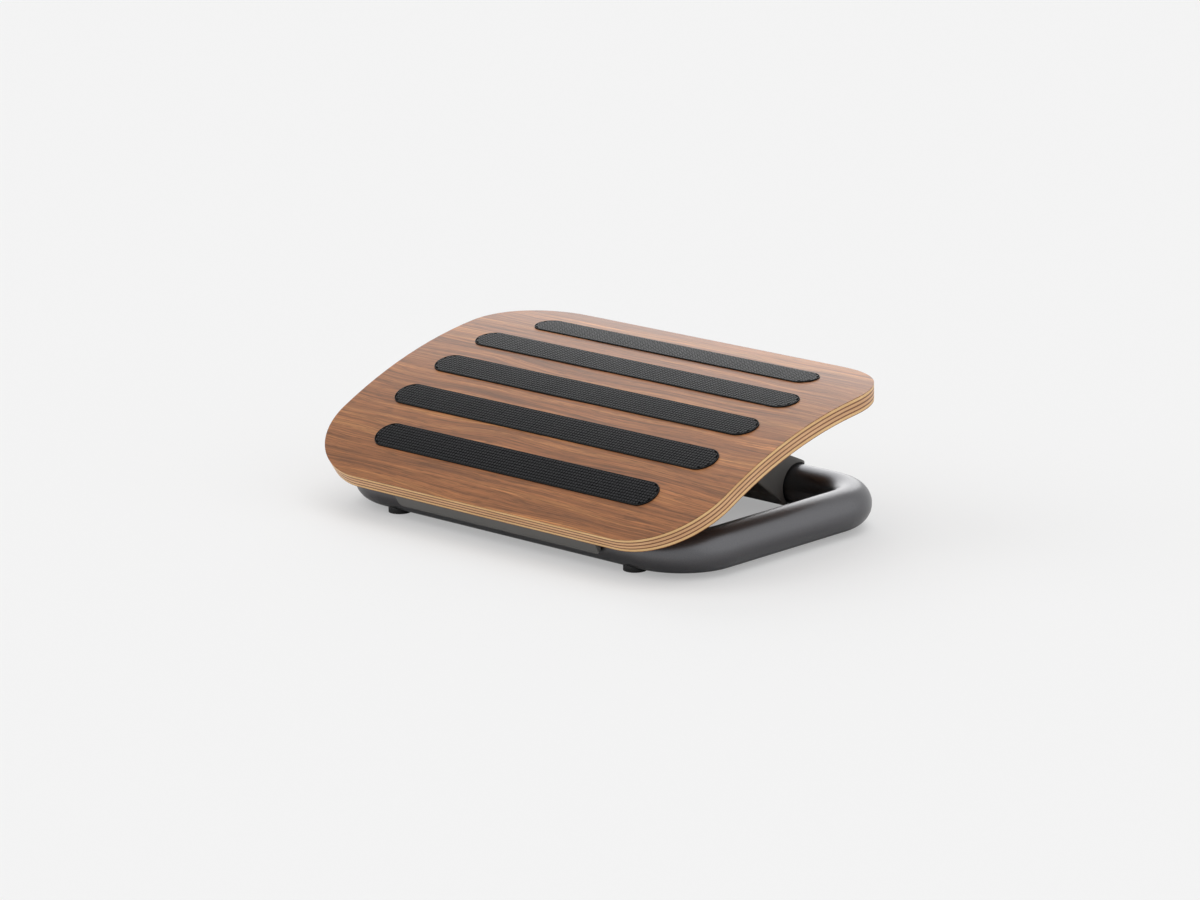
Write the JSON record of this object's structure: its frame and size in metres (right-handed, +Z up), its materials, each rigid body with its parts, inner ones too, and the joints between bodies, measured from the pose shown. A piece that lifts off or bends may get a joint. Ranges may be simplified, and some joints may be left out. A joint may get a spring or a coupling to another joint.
{
  "type": "tilting footrest",
  "caption": "Tilting under-desk footrest: curved plywood platform with rubber grip strips, hinged on a bent steel tube base and held up at the rear by a swinging prop.",
  "frame": {"origin": "middle of the footprint, on the floor under the feet", "axes": "+X to the user's right along the tubes, +Y away from the user to the raised rear edge, +Z up"},
  "size_m": [0.45, 0.3104, 0.1331],
  "materials": {
    "frame_paint": "satin dark grey powder coat",
    "bare_steel": "bright drawn steel",
    "zinc_steel": "zinc plated",
    "insert_brass": "turned brass",
    "foot_rubber": "matt moulded rubber",
    "strip_rubber": "finely ribbed rubber",
    "walnut": "satin lacquered walnut veneer",
    "birch_ply": "sealed birch ply",
    "cross_ply": "sealed dark cross ply",
    "saddle_plastic": "fine moulded grain",
    "liner_nylon": "moulded nylon",
    "rail_paint": "matt black powder coat"
  },
  "bodies": {
    "base": {"frame_tube": "frame_paint", "frame_splice": "bare_steel", "foot_front_left": "foot_rubber", "foot_front_right": "foot_rubber", "foot_rear_left": "foot_rubber", "foot_rear_right": "foot_rubber", "foot_screws": "zinc_steel"},
    "platform": {"walnut_face_veneer": "walnut", "light_ply_1": "birch_ply", "dark_ply_1": "cross_ply", "light_ply_2": "birch_ply", "dark_ply_2": "cross_ply", "light_ply_3": "birch_ply", "dark_ply_3": "cross_ply", "light_ply_4": "birch_ply", "walnut_back_veneer": "walnut", "grip_strip_1": "strip_rubber", "grip_strip_2": "strip_rubber", "grip_strip_3": "strip_rubber", "grip_strip_4": "strip_rubber", "grip_strip_5": "strip_rubber", "front_saddle": "saddle_plastic", "front_saddle_liner": "liner_nylon", "saddle_screws": "zinc_steel", "saddle_inserts": "insert_brass", "guide_rail_left": "rail_paint", "guide_rail_right": "rail_paint", "rail_screws": "zinc_steel", "rail_inserts": "insert_brass"},
    "prop": {"rear_prop": "saddle_plastic", "rear_prop_liner": "liner_nylon", "prop_bar": "bare_steel", "glide_left": "liner_nylon", "glide_right": "liner_nylon", "glide_screws": "zinc_steel"}
  },
  "joints": [
    {"name": "platform_tilt", "type": "hinge", "parent": "base", "child": "platform", "pos_m": [0, -0.10958, 0.0214], "axis": [1, 0, 0], "range_deg": [-12, 0]},
    {"name": "prop_swing", "type": "hinge", "parent": "base", "child": "prop", "pos_m": [0, 0.13542, 0.0214], "axis": [1, 0, 0], "range_deg": [0, 14.4]}
  ],
  "couplings": [
    {"joint": "prop_swing", "follows": "platform_tilt", "ratio": -1.2}
  ]
}
